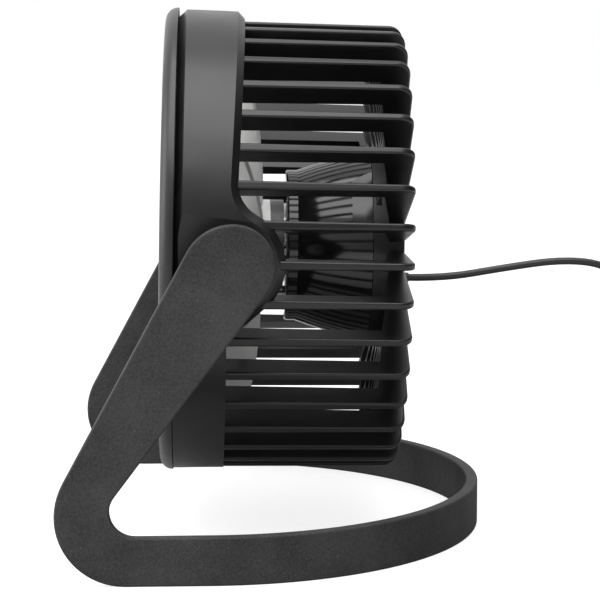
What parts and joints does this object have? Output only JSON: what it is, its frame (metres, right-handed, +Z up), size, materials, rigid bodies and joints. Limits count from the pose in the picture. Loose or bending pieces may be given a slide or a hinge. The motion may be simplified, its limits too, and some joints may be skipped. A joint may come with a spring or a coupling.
{
  "type": "desk fan",
  "caption": "Small USB desk fan with a drum-shaped head of rear fins, tilting between the arms of a one-piece loop stand, with its lead put away in a coil.",
  "frame": {"origin": "on the surface the fan stands on, under the middle of the stand's footprint", "axes": "+Z up, -Y the way the air leaves, +X to the fan's left-hand side as the user faces it from behind"},
  "size_m": [0.188, 0.2451, 0.1791],
  "materials": {
    "shell_plastic": "fine moulded grain",
    "gloss_black": "polished",
    "impeller_plastic": "satin",
    "steel": "plain",
    "magnet": "sintered",
    "copper": "enamelled wire",
    "brass": "plain",
    "white_plastic": "plain",
    "board": "lacquered board",
    "cord_jacket": "soft matte jacket",
    "friction_pad": "plain"
  },
  "bodies": {
    "stand": {"stand": "shell_plastic", "friction_rings": "friction_pad", "pivot_washers": "steel", "pivot_screws": "steel", "power_cord": "cord_jacket", "cord_tail": "cord_jacket", "cord_coil": "cord_jacket", "cord_tie": "cord_jacket", "usb_grip": "cord_jacket", "usb_shell": "steel", "usb_tongue": "white_plastic"},
    "head": {"rear_housing": "shell_plastic", "front_grille": "shell_plastic", "motor_shell": "gloss_black", "motor_can": "steel", "motor_magnets": "magnet", "front_bushing": "brass", "rear_bushing": "brass", "motor_brushes": "magnet", "motor_end_cap": "white_plastic", "motor_terminals": "brass", "motor_screws": "steel", "rear_cap": "shell_plastic", "circuit_board": "board", "switch_body": "magnet", "strain_relief": "cord_jacket"},
    "rotor": {"impeller": "impeller_plastic", "motor_shaft": "steel", "armature_core": "steel", "armature_windings": "copper", "commutator": "copper"},
    "button": {"power_button": "shell_plastic"}
  },
  "joints": [
    {"name": "head_tilt", "type": "hinge", "parent": "stand", "child": "head", "pos_m": [0, -0.0166, 0.0988], "axis": [-1, 0, 0], "range_deg": [-30, 60], "deforming": ["power_cord"]},
    {"name": "rotor_spin", "type": "hinge", "parent": "head", "child": "rotor", "pos_m": [0, -0.01663, 0.09725], "axis": [0, -0.9998, 0.0192], "continuous": true},
    {"name": "button_press", "type": "slide", "parent": "head", "child": "button", "axis": [0, -0.9998, 0.0192], "range_m": [0, 0.0008], "stiffness_N_per_m": 400, "springref_m": -0.003}
  ]
}
